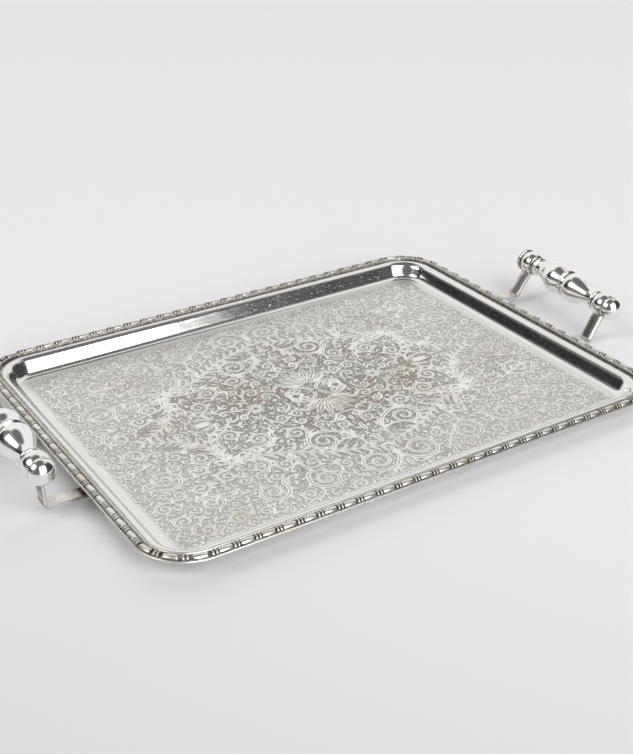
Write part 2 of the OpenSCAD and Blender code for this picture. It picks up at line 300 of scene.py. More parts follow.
def makeTrayBody():
    bm = bmesh.new()
    runRound(bm, sheetSide(tray["sheet"])[::-1] + sheetSide(0.0))
    bmesh.ops.holes_fill(bm, edges=[edge for edge in bm.edges if edge.is_boundary], sides=0)
    # rings of faces keep the shading of the flat floor apart from the cove
    floors = [face for face in bm.faces if len(face.verts) > 8]
    bmesh.ops.inset_individual(bm, faces=floors, thickness=2.0, use_even_offset=True)
    # the flange is darkened next to the border, wider on the far sides: stain and painted shade below
    # the border; the underside is darkened a little too
    darkening = bm.verts.layers.float.new("tarnish_and_shade")
    for vert in bm.verts:
        far = vert.co.x > halfX or vert.co.y > halfY
        reach = tray["darkBandTo"] + (1.2 if far else -0.3)
        beside = vert.co.z > tray["flangeTop"] - 0.2 and rimInset(vert.co) < reach
        vert[darkening] = 0.8 if beside else 0.25 if vert.co.z < 0.5 else 0.0
    return settle(bm, "tray_sheet", traySilver, ["tray_body"], 50)


def makeEdgeWire():
    look = {"middle": 12.4, "radius": 0.73, "deep": 0.94}
    bm = bmesh.new()
    section = [(look["deep"], look["middle"] - look["radius"])]
    section += arc((look["radius"], look["middle"]), look["radius"], 270, 90, 14)
    section += [(look["deep"], look["middle"] + look["radius"])]
    runRound(bm, section, closed=True)
    # the wire's lower half is darker: painted shade under the curve of the wire
    darkening = bm.verts.layers.float.new("tarnish_and_shade")
    for vert in bm.verts:
        vert[darkening] = 0.45 if vert.co.z < look["middle"] - 0.4 else 0.0
    return settle(bm, "rim_wire", borderSilver, ["edge_wire"], 60)


makeTrayBody()
makeEdgeWire()
print("tray sheet and rim wire made")

border = {
    "width": 7.6, "thick": 0.6, "height": 13.05, "pitch": 14.55,
    "bead": 8.9, "beadInset": 2.6, "sink": 0.88, "beadRadius": 2.5, "endRadius": 2.22,
    "rib": 1.5, "ribGap": 0.85, "ribRadius": 2.54,
    "fillet": 6.3, "filletRadius": 1.18, "filletHigh": 1.7,
}


# a turned shape lying along X, kept above the strip's back
def turnHalf(bm, profile, steps=16):
    axisHeight = border["thick"] - border["sink"]
    verts = [bm.verts.new((along, border["beadInset"] - reach, axisHeight)) for along, reach in profile]
    edges = [bm.edges.new(pair) for pair in zip(verts, verts[1:])]
    bmesh.ops.spin(bm, geom=verts + edges, cent=(0, border["beadInset"], axisHeight),
                   axis=(1, 0, 0), angle=-math.pi, steps=steps)


def makeBorderRun(bm, length, cells, pieces):
    cell = length / cells
    half = border["bead"] / 2
    swell = border["beadRadius"] - border["endRadius"]
    darkening = bm.verts.layers.float.new("tarnish_and_shade")
    for number in range(cells):
        middle = (number + 0.5) * cell - length / 2
        lobe = [(middle - half, 0.02), (middle - half, border["endRadius"] - 0.35),
                (middle - half + 0.1, border["endRadius"] - 0.1)]
        for i in range(11):
            share = -1 + 0.2 * i
            lobe.append((middle + share * (half - 0.3), border["endRadius"] + swell * (1 - share ** 2)))
        lobe += [(2 * middle - along, reach) for along, reach in lobe[2::-1]]
        turnHalf(bm, lobe)
        for side in (-1, 1):
            place = middle + side * (cell / 2 - border["ribGap"] / 2 - border["rib"] / 2)
            wide, tall = border["rib"] / 2, border["ribRadius"]
            ring = [(place - wide, 0.02), (place - wide, tall - 0.3),
                    (place - wide + 0.12, tall - 0.08), (place - 0.2, tall)]
            ring += [(2 * place - along, reach) for along, reach in ring[::-1]]
            turnHalf(bm, ring, 14)
    bmesh.ops.bisect_plane(bm, geom=bm.verts[:] + bm.edges[:] + bm.faces[:], plane_co=(0, 0, 0.03),
                           plane_no=(0, 0, 1), clear_inner=True)
    # ends of the lobes, sides of the ribs and the foot are dark, and the ribs are darker all over:
    # tarnish and painted shade in the hollows; the inner flank of each lobe is darkened as a painted
    # dark reflection
    for vert in bm.verts:
        reach = math.hypot(vert.co.y - border["beadInset"],
                           vert.co.z - border["thick"] + border["sink"])
        foot = min(1.0, max(0.0, (border["thick"] + 0.45 - vert.co.z) / 0.5))
        rib = abs((vert.co.x + length / 2) % cell - cell / 2) > half + 0.1
        side = reach < (border["ribRadius"] - 0.2 if rib else border["endRadius"] - 0.05)
        inner = min(0.35, max(0.0, (vert.co.y - border["beadInset"] - 0.6) / 3))
        vert[darkening] = 0.9 if side else max(0.35 if rib else 0.08, 0.8 * foot, inner)
    # the strip's own section, with the fillet along its inner side
    filletStart = border["fillet"] - border["filletRadius"]
    rounded = arc((border["fillet"], 0.02), border["filletRadius"] - 0.02, 160, 0, 10)
    section = [(0, 0), (0, border["thick"]), (filletStart - 0.12, border["thick"])]
    section += [(inset, height * border["filletHigh"] / border["filletRadius"])
                for inset, height in rounded]
    section += [(border["width"], 0.02), (border["width"], 0)]
    verts = [bm.verts.new((-length / 2, inset, height)) for inset, height in section]
    edges = [bm.edges.new(pair) for pair in zip(verts, verts[1:] + verts[:1])]
    bm.faces.new(verts)
    strip = set(verts)
    for step in range(pieces):
        grown = bmesh.ops.extrude_edge_only(bm, edges=edges)["geom"]
        verts, edges = grownParts(grown)
        strip.update(verts)
        bmesh.ops.translate(bm, vec=(length / pieces, 0, 0), verts=verts)
    bmesh.ops.contextual_create(bm, geom=edges)
    # the strip's floor between the lobes and its band inside the fillet are dark, the fillet lighter:
    # tarnish and painted shade in the grooves
    for vert in strip:
        flat = vert.co.y < filletStart + 0.1
        vert[darkening] = 1.0 if flat else 0.85 if vert.co.y > border["fillet"] + 0.3 else 0.25


def makeBorderSide(name, side):
    span = 2 * (halfX if side % 2 == 0 else halfY)
    edge = (tray["width"] if side % 2 == 0 else tray["length"]) / 2
    bm = bmesh.new()
    makeBorderRun(bm, span, round(span / border["pitch"]), 2)
    bmesh.ops.translate(bm, vec=(0, tray["wireInset"] - edge, border["height"]), verts=bm.verts)
    quarterTurn = Matrix.Rotation(side * math.pi / 2, 3, "Z")
    bmesh.ops.rotate(bm, cent=(0, 0, 0), matrix=quarterTurn, verts=bm.verts)
    return settle(bm, name, borderSilver, [name.replace("_strip", "")], 40, False)


# the corner runs are made straight and bent round the corner's centre
def makeBorderCorner(name, corner):
    axisRadius = tray["corner"] - tray["wireInset"] - border["beadInset"]
    length = axisRadius * math.pi / 2
    bm = bmesh.new()
    makeBorderRun(bm, length, round(length / border["pitch"]), 24)
    x = (1 if corner in (0, 3) else -1) * halfX
    y = (1 if corner < 2 else -1) * halfY
    for vert in bm.verts:
        angle = vert.co.x / axisRadius + math.radians(90 * corner + 45)
        reach = tray["corner"] - tray["wireInset"] - vert.co.y
        height = vert.co.z + border["height"]
        vert.co = (x + reach * math.cos(angle), y + reach * math.sin(angle), height)
    return settle(bm, name, borderSilver, [name.replace("_strip", "")], 40, False)


for side, name in enumerate(("front", "right", "back", "left")):
    makeBorderSide("border_" + name + "_strip", side)
for corner, name in enumerate(("back_right", "back_left", "front_left", "front_right")):
    makeBorderCorner("border_corner_" + name + "_strip", corner)
print("border strips made")

# each end of a handle has its own bends: the right one has been pushed down in front
handle = {
    "span": 87.5, "run": 53.5, "reach": {-1: 25, 1: 23}, "footHeight": 8.15,
    "sag": {(-1, -1): 0, (-1, 1): 0, (1, -1): 18, (1, 1): 6},
    "lean": {(-1, -1): 2, (-1, 1): 2, (1, -1): 31, (1, 1): 37},
    "strip": 10.5, "stripThick": 2.0, "bend": 1.5, "topGap": 7.4,
    "seatIn": 3.0, "seat": 6.6, "seatHigh": 2.6, "bore": 2.3, "turnSteps": 72,
}


# one bracket's sag and lean in radians, the reach of its foot and the rise of its upright
def bends(side, end):
    sag, lean = (math.radians(handle[name][side, end]) for name in ("sag", "lean"))
    reach = handle["reach"][side]
    return sag, lean, reach, handle["run"] - reach


# middle of a boss, out from the rim and up from the foot
def bossPlace(side, end):
    sag, lean, reach, rise = bends(side, end)
    out = reach * math.cos(sag) + rise * math.sin(lean)
    up = rise * math.cos(lean) - reach * math.sin(sag)
    return Vector((out, 0, up))


def gripAxis(side):
    front, back = bossPlace(side, -1), bossPlace(side, 1)
    axis = (back - front) / 2
    axis.y = math.sqrt((handle["span"] / 2) ** 2 - axis.length_squared)
    return (front + back) / 2, axis


# the bent strip: seat end, foot, bend and upright, grown face by face
def makeBracket(side, end, name):
    sag, lean, reach, rise = bends(side, end)
    turned = math.pi / 2 - lean + sag
    middle = handle["bend"] + handle["stripThick"] / 2
    foot = reach - middle * math.tan(turned / 2)
    upright = rise - middle * math.tan(turned / 2) - handle["topGap"]
    w, t = handle["strip"] / 2, handle["stripThick"] / 2
    bm = bmesh.new()
    start = -handle["seatIn"] - handle["seat"]
    face = bm.faces.new([bm.verts.new((start, y, z)) for y, z in ((-w, -t), (w, -t), (w, t), (-w, t))])

    def grow(step):
        nonlocal face
        region = bmesh.ops.extrude_face_region(bm, geom=[face])["geom"]
        verts = [part for part in region if isinstance(part, bmesh.types.BMVert)]
        face = [part for part in region if isinstance(part, bmesh.types.BMFace)][0]
        bmesh.ops.translate(bm, vec=step, verts=verts)
        return verts

    along = Vector((math.cos(sag), 0, -math.sin(sag)))
    up = Vector((math.sin(lean), 0, math.cos(lean)))
    halfSag = Matrix.Rotation(sag / 2, 3, "Y")
    verts = grow(Vector((-start, 0, 0)))
    if sag > 0:
        bmesh.ops.rotate(bm, cent=(0, 0, 0), matrix=halfSag, verts=verts)
    verts = grow(along * foot * 0.5)
    if sag > 0:
        bmesh.ops.rotate(bm, cent=along * foot * 0.5, matrix=halfSag, verts=verts)
    grow(along * foot * 0.5)
    centre = along * foot + middle * Vector((math.sin(sag), 0, math.cos(sag)))
    last = bmesh.ops.spin(bm, geom=[face] + list(face.edges) + list(face.verts), cent=centre,
                          axis=(0, -1, 0), angle=turned, steps=8)["geom_last"]
    face = [part for part in last if isinstance(part, bmesh.types.BMFace)][0]
    for step in range(4):
        grow(up * upright / 4)
    bmesh.ops.remove_doubles(bm, verts=bm.verts, dist=0.002)
    bmesh.ops.recalc_face_normals(bm, faces=bm.faces)
    edges = [edge for edge in bm.edges if len(edge.link_faces) == 2 and edge.calc_face_angle() > 0.9]
    bmesh.ops.bevel(bm, geom=edges, offset=0.3, segments=2, profile=0.5,
                    affect="EDGES", material=-1)
    # the seat block under the flange
    block = bmesh.ops.create_cube(bm, size=1.0)["verts"]
    seatSize = (handle["seat"], handle["strip"] - 0.4, handle["seatHigh"] + 0.2)
    seatPlace = (start + handle["seat"] / 2, 0, t + handle["seatHigh"] / 2 - 0.1)
    bmesh.ops.scale(bm, vec=seatSize, verts=block)
    bmesh.ops.translate(bm, vec=seatPlace, verts=block)
    blockEdges = list({edge for vert in block for edge in vert.link_edges})
    bmesh.ops.bevel(bm, geom=blockEdges, offset=0.4, segments=2, profile=0.5,
                    affect="EDGES", material=-1)
    # darker near the bend, near the top of the upright and a little all over: tarnish; next to the rim
    # and on the seat under the flange: painted shadow
    darkening = bm.verts.layers.float.new("tarnish_and_shade")
    for vert in bm.verts:
        nearBend = max(0.0, 1 - (vert.co - along * reach).length / 8)
        nearTop = max(0.0, 1 - (vert.co - along * reach - up * (rise - 9)).length / 8)
        rimShadow = max(0.0, 1 - abs(vert.co.x) / 5)
        under = 0.8 if vert.co.x < -2 else 0.0
        vert[darkening] = min(1.0, 0.22 + 0.6 * nearBend + 0.6 * nearTop + rimShadow + under)
    away = gripAxis(side)[1].y * end
    bmesh.ops.translate(bm, vec=(tray["length"] / 2, away, handle["footHeight"]), verts=bm.verts)
    if side < 0:
        bmesh.ops.scale(bm, vec=(-1, 1, 1), verts=bm.verts)
    return settle(bm, name + "_strip", handleSilver, [name], 30)


grip = {
    "big": 12.15, "waist": 9.6, "neck": 6.2, "lobeAt": 9.8, "neckAt": 30.5, "end": 37.55,
    "ringRadius": 10.9, "waistAt": 1.95, "collarAt": 34.8, "collarRadius": 7.8,
}
boss = {"radius": 9.75, "half": 6.2}
knob = {"radius": 9.15, "long": 9.45}


def ease(start, end, share):
    return start + (end - start) * (1 - math.cos(math.pi * share)) / 2


# turned pieces: a profile of (distance along the grip, radius) spun about the grip's axis
def makeTurned(profile, side, name, darkening, sharp):
    bm = bmesh.new()
    layer = bm.verts.layers.float.new("tarnish_and_shade")
    verts = [bm.verts.new((0, along, reach)) for along, reach in profile]
    edges = [bm.edges.new(pair) for pair in zip(verts, verts[1:])]
    bmesh.ops.spin(bm, geom=verts + edges, cent=(0, 0, 0), axis=(0, 1, 0), angle=2 * math.pi,
                   steps=handle["turnSteps"], use_merge=True)
    bmesh.ops.remove_doubles(bm, verts=bm.verts, dist=0.002)
    for vert in bm.verts:
        vert[layer] = darkening(vert.co.y, math.hypot(vert.co.x, vert.co.z))
    centre, axis = gripAxis(side)
    tilt = Vector((0, 1, 0)).rotation_difference(axis).to_matrix()
    bmesh.ops.rotate(bm, cent=(0, 0, 0), matrix=tilt, verts=bm.verts)
    foot = Vector((tray["length"] / 2, 0, handle["footHeight"]))
    bmesh.ops.translate(bm, vec=centre + foot, verts=bm.verts)
    if side < 0:
        bmesh.ops.scale(bm, vec=(-1, 1, 1), verts=bm.verts)
    return settle(bm, name + "_turned", handleSilver, [name], sharp)


def makeGrip(side, name):
    top, waist, neck = grip["ringRadius"], grip["waist"], grip["neck"]
    waistAt, lobeAt, collarAt = grip["waistAt"], grip["lobeAt"], grip["collarAt"]
    half = [(0.0, top), (0.55, top - 0.08), (1.05, top - 0.4), (1.4, top - 0.95)]
    half += [(1.55, waist + 0.05), (waistAt, waist + 0.02)]
    for i in range(1, 13):
        swell = ease(waist, grip["big"], min(1.0, 0.12 + 0.88 * i / 12))
        half.append((waistAt + (lobeAt - waistAt) * i / 12, swell))
    for i in range(1, 17):
        half.append((lobeAt + (grip["neckAt"] - lobeAt) * i / 16, ease(grip["big"], neck, i / 16)))
    half.append((collarAt - 1.75, neck))
    for degrees in range(-90, 91, 18):
        angle = math.radians(degrees)
        swell = (grip["collarRadius"] - neck) * math.cos(angle)
        half.append((collarAt + 1.55 * math.sin(angle), neck + swell))
    half += [(collarAt + 1.7, neck), (grip["end"] - 0.02, neck), (grip["end"] - 0.02, handle["bore"])]
    profile = [(-along, reach) for along, reach in half[:0:-1]] + half

    def darkening(along, reach):
        joint = max(0.0, 1 - abs(abs(along) - grip["end"]) / 3.2)
        groove = max(0.0, 1 - abs(abs(along) - 1.7) / 0.7)
        return 0.75 * groove + 0.5 * joint * (1 if reach < grip["collarRadius"] - 0.7 else 0.4)

    return makeTurned(profile, side, name, darkening, 55)


def makeBoss(side, end, name):
    flat = math.sqrt(boss["radius"] ** 2 - boss["half"] ** 2)
    profile = [(-boss["half"], handle["bore"]), (-boss["half"], flat - 0.3)]
    low = math.degrees(math.asin(boss["half"] / boss["radius"]))
    for i in range(17):
        angle = math.radians(-low + 2 * low * i / 16)
        profile.append((boss["radius"] * math.sin(angle), boss["radius"] * math.cos(angle)))
    profile += [(boss["half"], flat - 0.3), (boss["half"], handle["bore"])]
    profile = [(along + end * handle["span"] / 2, reach) for along, reach in profile]

    def darkening(along, reach):
        edge = abs(abs(along - end * handle["span"] / 2) - boss["half"])
        return 0.8 * max(0.0, 1 - edge / 1.1)

    return makeTurned(profile, side, name, darkening, 55)


def makeKnob(side, end, name):
    face = handle["span"] / 2 + boss["half"]
    centre = face + knob["long"] - knob["radius"]
    profile = [(face, handle["bore"]), (face, 7.0), (face + 0.12, 8.1)]
    for degrees in range(-90, 91, 22):
        angle = math.radians(degrees)
        profile.append((face + 0.9 + 0.75 * math.sin(angle), 8.35 + 0.8 * math.cos(angle)))
    profile.append((face + 1.7, 7.9))
    first = math.degrees(math.asin((face + 2.1 - centre) / knob["radius"]))
    for i in range(19):
        angle = math.radians(first + (90 - first) * i / 18)
        profile.append((centre + knob["radius"] * math.sin(angle), knob["radius"] * math.cos(angle)))
    profile[-1] = (face + knob["long"], 0.0)

    def darkening(along, reach):
        groove = max(0.0, 1 - abs(abs(along) - face - 1.75) / 0.5)
        joint = max(0.0, 1 - abs(abs(along) - face) / 0.6)
        return groove + 0.9 * joint

    profile = [(end * along, reach) for along, reach in profile]
    return makeTurned(profile, side, name, darkening, 50)


for side, sideName in ((-1, "left"), (1, "right")):
    makeGrip(side, "grip_" + sideName)
    for end, endName in ((-1, "front"), (1, "back")):
        place = "_" + sideName + "_" + endName
        makeBracket(side, end, "bracket" + place)
        makeBoss(side, end, "boss" + place)
        makeKnob(side, end, "end_knob" + place)
print("handles made")

field = {"halfX": 174.5, "halfY": 126.5, "margin": 2.4, "round": 14, "low": 1.15, "top": 1.24}


def makeGround():
    bm = bmesh.new()
    bmesh.ops.create_grid(bm, x_segments=1, y_segments=1, size=1.0)
    size = (field["halfX"] + field["margin"], field["halfY"] + field["margin"], 1)
    bmesh.ops.scale(bm, vec=size, verts=bm.verts)
    bmesh.ops.bevel(bm, geom=bm.verts[:], offset=field["round"], segments=12, profile=0.5,
                    affect="VERTICES", material=-1)
    region = bmesh.ops.extrude_face_region(bm, geom=bm.faces[:])["geom"]
    top = [part for part in region if isinstance(part, bmesh.types.BMVert)]
    bmesh.ops.translate(bm, vec=(0, 0, field["low"]), verts=bm.verts)
    bmesh.ops.translate(bm, vec=(0, 0, field["top"] - field["low"]), verts=top)
    return settle(bm, "engraved_ground", groundSilver)


makeGround()
print("engraved ground made")

# scrollwork: strokes are lists of (x, y, half width), drawn in one quarter and mirrored
scrollwork = {
    "base": 1.235, "high": 0.16, "crown": 0.05, "outline": 0.44,
    "bold": 1.08, "broad": 0.98, "faint": 0.25, "seed": 7,
}
quarter = []
onAxis = []


# a broad stroke is cut as two lines with a groove between them
def stroke(line, target=None):
    target = quarter if target is None else target
    line = [(x, y, wide * scrollwork["bold"]) for x, y, wide in line]
    if max(wide for x, y, wide in line) < scrollwork["broad"]:
        target.append(line)
        return
    for side in (-1, 1):
        target.append(shifted(line, side * 0.6, 0.34))


# the same line moved sideways and thinned, both as shares of its half width
def shifted(line, share, thin):
    moved = []
    for i, (x, y, wide) in enumerate(line):
        before, after = line[max(0, i - 1)], line[min(len(line) - 1, i + 1)]
        heading = math.atan2(after[1] - before[1], after[0] - before[0])
        x, y = x - share * wide * math.sin(heading), y + share * wide * math.cos(heading)
        moved.append((x, y, wide * thin))
    return moved


# smooth line through the points
def curvePoints(points, count):
    line = []
    padded = [points[0]] + points + [points[-1]]
    for a, b, c, d in zip(padded, padded[1:], padded[2:], padded[3:]):
        for i in range(count):
            t = i / count
            line.append(tuple(
                0.5 * (2 * q + (r - p) * t + (2 * p - 5 * q + 4 * r - s) * t * t
                       + (3 * q - p - 3 * r + s) * t ** 3)
                for p, q, r, s in zip(a, b, c, d)))
    line.append(points[-1])
    return line


def leaf(x0, y0, x1, y1, bend, wide, target=None):
    start, end = Vector((x0, y0)), Vector((x1, y1))
    side = Vector((-(y1 - y0), x1 - x0)) * bend
    line = []
    for i in range(8):
        t = i / 7
        point = (1 - t) ** 2 * start + 2 * t * (1 - t) * ((start + end) / 2 + side) + t * t * end
        swell = 0.25 + 0.75 * math.sin(math.pi * t ** 0.8) if t < 0.9 else 0.08
        line.append((point.x, point.y, wide * swell))
    stroke(line, target)


# leaves that leave a stem on its outer side
def offshoots(line, side, long, wide, gap):
    walked = gap * 0.6
    for (xa, ya, wa), (xb, yb, wb) in zip(line, line[1:]):
        step = math.hypot(xb - xa, yb - ya)
        walked += step
        if walked > gap and step > 0.01:
            walked = 0.0
            heading = math.atan2(yb - ya, xb - xa)
            angle = heading - side * math.radians(48)
            x, y = xa + side * wa * math.sin(heading), ya - side * wa * math.cos(heading)
            leaf(x, y, x + long * math.cos(angle), y + long * math.sin(angle), side * 0.28, wide)


def volute(x, y, radius, turns, start, spin, thick, tail=None, leafy=True):
    count = max(10, int(turns * (8 + radius * 0.8)))
    line = []
    for i in range(count + 1):
        t = i / count
        angle = math.radians(start) + spin * turns * 2 * math.pi * t
        reach = radius * (1 - 0.84 * t ** 0.95)
        line.append((x + reach * math.cos(angle), y + reach * math.sin(angle), thick * (1 - 0.5 * t)))
    if tail:
        # the stem runs into the scroll along its tangent
        first, second = Vector(line[0][:2]), Vector(line[1][:2])
        pull = (first - second).normalized() * (Vector(tail) - first).length * 0.5
        stem = []
        for i in range(10):
            t = i / 10
            bend = (1 - t) ** 2 * Vector(tail) + 2 * t * (1 - t) * (first + pull) + t * t * first
            stem.append((bend.x, bend.y, thick * (0.4 + 0.6 * t)))
        line = stem + line
    stroke(line)
    eyeX, eyeY = line[-1][:2]
    eye = thick * 0.75
    stroke([(eyeX - eye, eyeY, 0.08), (eyeX - eye * 0.6, eyeY, eye * 0.75), (eyeX, eyeY, eye * 0.94),
            (eyeX + eye * 0.6, eyeY, eye * 0.75), (eyeX + eye, eyeY, 0.08)])
    if leafy and radius > 5:
        outer = line[:int(len(line) * 0.62)]
        offshoots(outer, spin, min(6.2, 2.2 + 0.34 * radius), thick * 0.62, 6.2)


def spray(points, thick, leafLong, leafWide, gap=5.0):
    line = curvePoints(points, 7)
    line = [(x, y, thick * (1 - 0.65 * i / len(line))) for i, (x, y) in enumerate(line)]
    stroke(line)
    for side in (-1, 1):
        offshoots(line, side, leafLong, leafWide, gap)


# petals are drawn as an outline with a rib
def petal(x0, y0, x1, y1, wide, target=None):
    for bend in (-0.5, 0.5):
        leaf(x0, y0, x1, y1, bend * wide, 0.5, target)
    leaf(x0 + 0.2 * (x1 - x0), y0 + 0.2 * (y1 - y0),
         x0 + 0.86 * (x1 - x0), y0 + 0.86 * (y1 - y0), 0, 0.5, target)


def rosette(x, y, inner, outer, angles, wide):
    for angle in angles:
        c, s = math.cos(math.radians(angle)), math.sin(math.radians(angle))
        leaf(x + inner * c, y + inner * s, x + outer * c, y + outer * s, 0.1, wide)


def drawQuarter():
    # middle: the two round scrolls, their trefoils and the lotus
    volute(14.4, 0.6, 12.6, 0.95, 178, -1, 1.35, None, False)
    volute(12.0, 5.0, 4.4, 1.2, 250, 1, 0.9)
    volute(19.6, 4.4, 3.8, 1.2, 160, -1, 0.85)
    petal(0.8, 13.5, 9.0, 35.5, 0.42)
    petal(1.6, 13.0, 17.0, 31.0, 0.40)
    petal(2.6, 12.4, 23.0, 23.5, 0.36)
    petal(3.4, 11.4, 16.0, 15.2, 0.40)
    volute(5.8, 42.0, 3.8, 1.2, 300, 1, 0.9, (0.8, 37.5))
    volute(28.5, 21.5, 5.8, 1.4, 200, 1, 1.05, (14.0, 13.6))
    volute(42.0, 21.0, 6.0, 1.4, 20, 1, 1.05, (51.0, 12.0))
    volute(34.6, 10.4, 4.6, 1.3, 150, -1, 0.95, (28.5, 2.5))
    volute(31.5, 31.5, 4.4, 1.3, 330, 1, 0.9, (38.0, 27.0))
    rosette(50.0, 0.0, 1.6, 7.4, (12, 48, 84, 120, 156), 1.2)
    volute(62.5, 7.0, 4.0, 1.2, 230, 1, 0.9, (56.5, 1.2))
    volute(73.0, 4.4, 3.4, 1.1, 120, -1, 0.85, (66.0, 0.8))
    # the bud on the long axis
    petal(85.5, 1.2, 101.0, 1.4, 0.30)
    leaf(84.0, 2.6, 97.0, 7.6, 0.2, 1.5)
    leaf(83.0, 2.0, 88.0, 10.0, 0.2, 1.2)
    # inner pair of scrolls and the double leaf round them
    volute(69.0, 37.5, 9.0, 1.8, 60, 1, 1.45, (95.0, 50.0))
    volute(83.6, 23.0, 7.8, 1.6, 330, -1, 1.3, (94.0, 38.0))
    spray([(98, 50), (99.5, 36), (98.5, 22), (91, 13.0), (78, 11.0), (66, 16)], 1.5, 5.4, 0.8, 7.0)
    spray([(96, 52), (82, 50.5), (68, 49.0), (59, 42.0), (57.5, 31.0)], 1.4, 4.4, 0.75, 8.0)
    volute(52.5, 29.5, 4.4, 1.3, 40, -1, 0.95, (60.0, 22.0))
    # the lozenge of leaf sprays
    spray([(98, 52), (82, 55.5), (66, 60), (52, 68.5), (38, 77), (22, 82.5), (8, 87), (1.2, 92)],
          1.7, 8.8, 1.1, 5.2)
    spray([(98, 50), (103, 40), (103.5, 28), (110, 17), (121, 9), (133, 3), (138, 1.2)],
          1.6, 8.2, 1.05, 5.2)
    for reach, degrees in ((12, 128), (13, 112), (13, 96), (12, 80)):
        angle = math.radians(degrees)
        leaf(62.0, 63.0, 62.0 - reach * math.cos(angle), 63.0 + reach * math.sin(angle), 0.14, 1.0)
    for reach, degrees in ((12, -28), (13, -12), (13, 4), (12, 20)):
        angle = math.radians(degrees)
        leaf(106.0, 20.0, 106.0 + reach * math.cos(angle), 20.0 + reach * math.sin(angle), 0.14, 1.0)
    rosette(98.0, 51.5, 1.2, 8.4, range(10, 360, 40), 1.35)
    volute(33.0, 63.0, 12.8, 1.9, 230, 1, 1.6, (10.0, 84.0))
    volute(43.7, 43.7, 8.6, 1.6, 120, 1, 1.4, (30.0, 50.5))
    volute(16.0, 63.0, 5.8, 1.4, 60, 1, 1.05, (1.0, 71.0))
    volute(10.5, 51.0, 5.6, 1.4, 250, -1, 1.05, (21.0, 49.0))
    volute(23.5, 43.0, 4.8, 1.3, 200, 1, 0.95, (13.0, 44.0))
    # outside the lozenge
    volute(85.0, 67.5, 7.0, 1.5, 230, -1, 1.25, (97.0, 58.5))
    volute(70.5, 74.0, 6.4, 1.5, 320, 1, 1.15, (78.0, 62.0))
    volute(55.0, 81.5, 7.6, 1.5, 320, 1, 1.2, (73.0, 84.5))
    volute(110.0, 66.5, 7.4, 1.5, 250, 1, 1.25, (100.0, 57.0))
    volute(114.0, 38.0, 7.6, 1.5, 110, -1, 1.3, (103.5, 48.0))
    volute(121.0, 50.0, 6.4, 1.4, 20, 1, 1.1, (106.0, 53.0))
    volute(127.5, 27.0, 7.0, 1.5, 190, 1, 1.15, (116.0, 16.0))
    volute(113.0, 5.2, 4.2, 1.3, 60, -1, 0.95, (121.0, 9.0))
    # border row along the long side
    volute(17.0, 103.5, 13.6, 1.85, 150, -1, 1.6, (1.2, 95.0))
    volute(57.2, 103.0, 11.4, 1.8, 330, 1, 1.55, (32.0, 116.5))
    volute(94.3, 98.0, 11.6, 1.8, 200, -1, 1.55, (70.0, 88.5))
    volute(36.5, 94.0, 6.0, 1.4, 290, 1, 1.1, (46.0, 91.0))
    volute(75.8, 113.0, 6.0, 1.4, 80, -1, 1.1, (66.0, 114.5))
    volute(108.5, 114.0, 5.6, 1.4, 120, 1, 1.05, (100.0, 109.5))
    volute(126.5, 112.0, 7.6, 1.5, 180, 1, 1.2, (113.0, 101.5))
    volute(132.5, 88.5, 9.4, 1.7, 300, -1, 1.4, (112.0, 84.0))
    volute(114.5, 86.0, 5.4, 1.4, 30, 1, 1.0, (106.0, 90.0))
    volute(157.0, 97.0, 7.6, 1.6, 110, -1, 1.2, (143.0, 96.0))
    volute(149.0, 113.0, 5.8, 1.4, 30, 1, 1.05, (157.0, 107.0))
    volute(161.0, 79.0, 6.6, 1.5, 250, 1, 1.1, (150.0, 84.0))
    # short side
    volute(146.5, 49.5, 13.0, 1.85, 20, 1, 1.6, (125.0, 58.0))
    volute(149.4, 13.8, 12.2, 1.2, 100, -1, 1.5, (160.0, 32.0))
    volute(145.5, 17.5, 4.4, 1.2, 300, 1, 0.95)
    volute(153.5, 10.0, 4.2, 1.2, 200, -1, 0.95)
    volute(131.0, 70.0, 7.0, 1.5, 200, -1, 1.15, (117.0, 72.0))
    volute(146.5, 70.0, 5.0, 1.3, 60, 1, 1.0, (154.0, 64.0))
    volute(134.0, 39.0, 4.8, 1.3, 330, 1, 0.95, (140.0, 34.0))
    volute(164.0, 33.0, 4.4, 1.2, 240, -1, 0.9, (160.0, 27.0))


def drawAxis():
    petal(0, 13.0, 0, 38.5, 0.36, onAxis)
    for y0, y1, wide in ((43, 50, 1.4), (55, 67, 1.9), (72, 85, 2.0), (92, 104, 1.8), (120, 110, 1.6)):
        leaf(0, y0, 0, y1, 0.0, wide, onAxis)


# curls, three-leaf fans and single leaves, large ones first, fill what the drawn scrolls leave open
def fillGaps():
    dice = random.Random(scrollwork["seed"])
    taken = [(x, y, wide) for line in quarter for x, y, wide in line]
    for size, pitch, thick in ((4.8, 6.0, 1.05), (3.5, 4.6, 0.95), (2.3, 3.6, 0.8)):
        for row in range(1, int(field["halfY"] / pitch)):
            for column in range(1, int(field["halfX"] / pitch)):
                x = column * pitch + dice.uniform(-1, 1)
                y = row * pitch + dice.uniform(-1, 1)
                start, spin = dice.uniform(0, 360), dice.choice((-1, 1))
                outside = x > field["halfX"] - size - 1 or y > field["halfY"] - size - 1
                if outside or (x > 160 and y > 112):
                    continue
                if min(math.hypot(x - a, y - b) - wide for a, b, wide in taken) < size + 0.3:
                    continue
                drawn = len(quarter)
                if size > 4:
                    volute(x, y, size, 1.25, start, spin, thick, None, False)
                else:
                    angle = math.radians(start)
                    root = Vector((x, y)) - size * Vector((math.cos(angle), math.sin(angle)))
                    for side in (-1, 0, 1) if size > 3 else (0,):
                        angle = math.radians(start + 52 * side)
                        long = (2 - 0.5 * abs(side)) * size
                        tip = root + long * Vector((math.cos(angle), math.sin(angle)))
                        leaf(*root, *tip, 0.3 * (side or spin), thick)
                taken += [point for line in quarter[drawn:] for point in line]


drawQuarter()
drawAxis()
fillGaps()
print("scroll strokes drawn:", len(quarter))


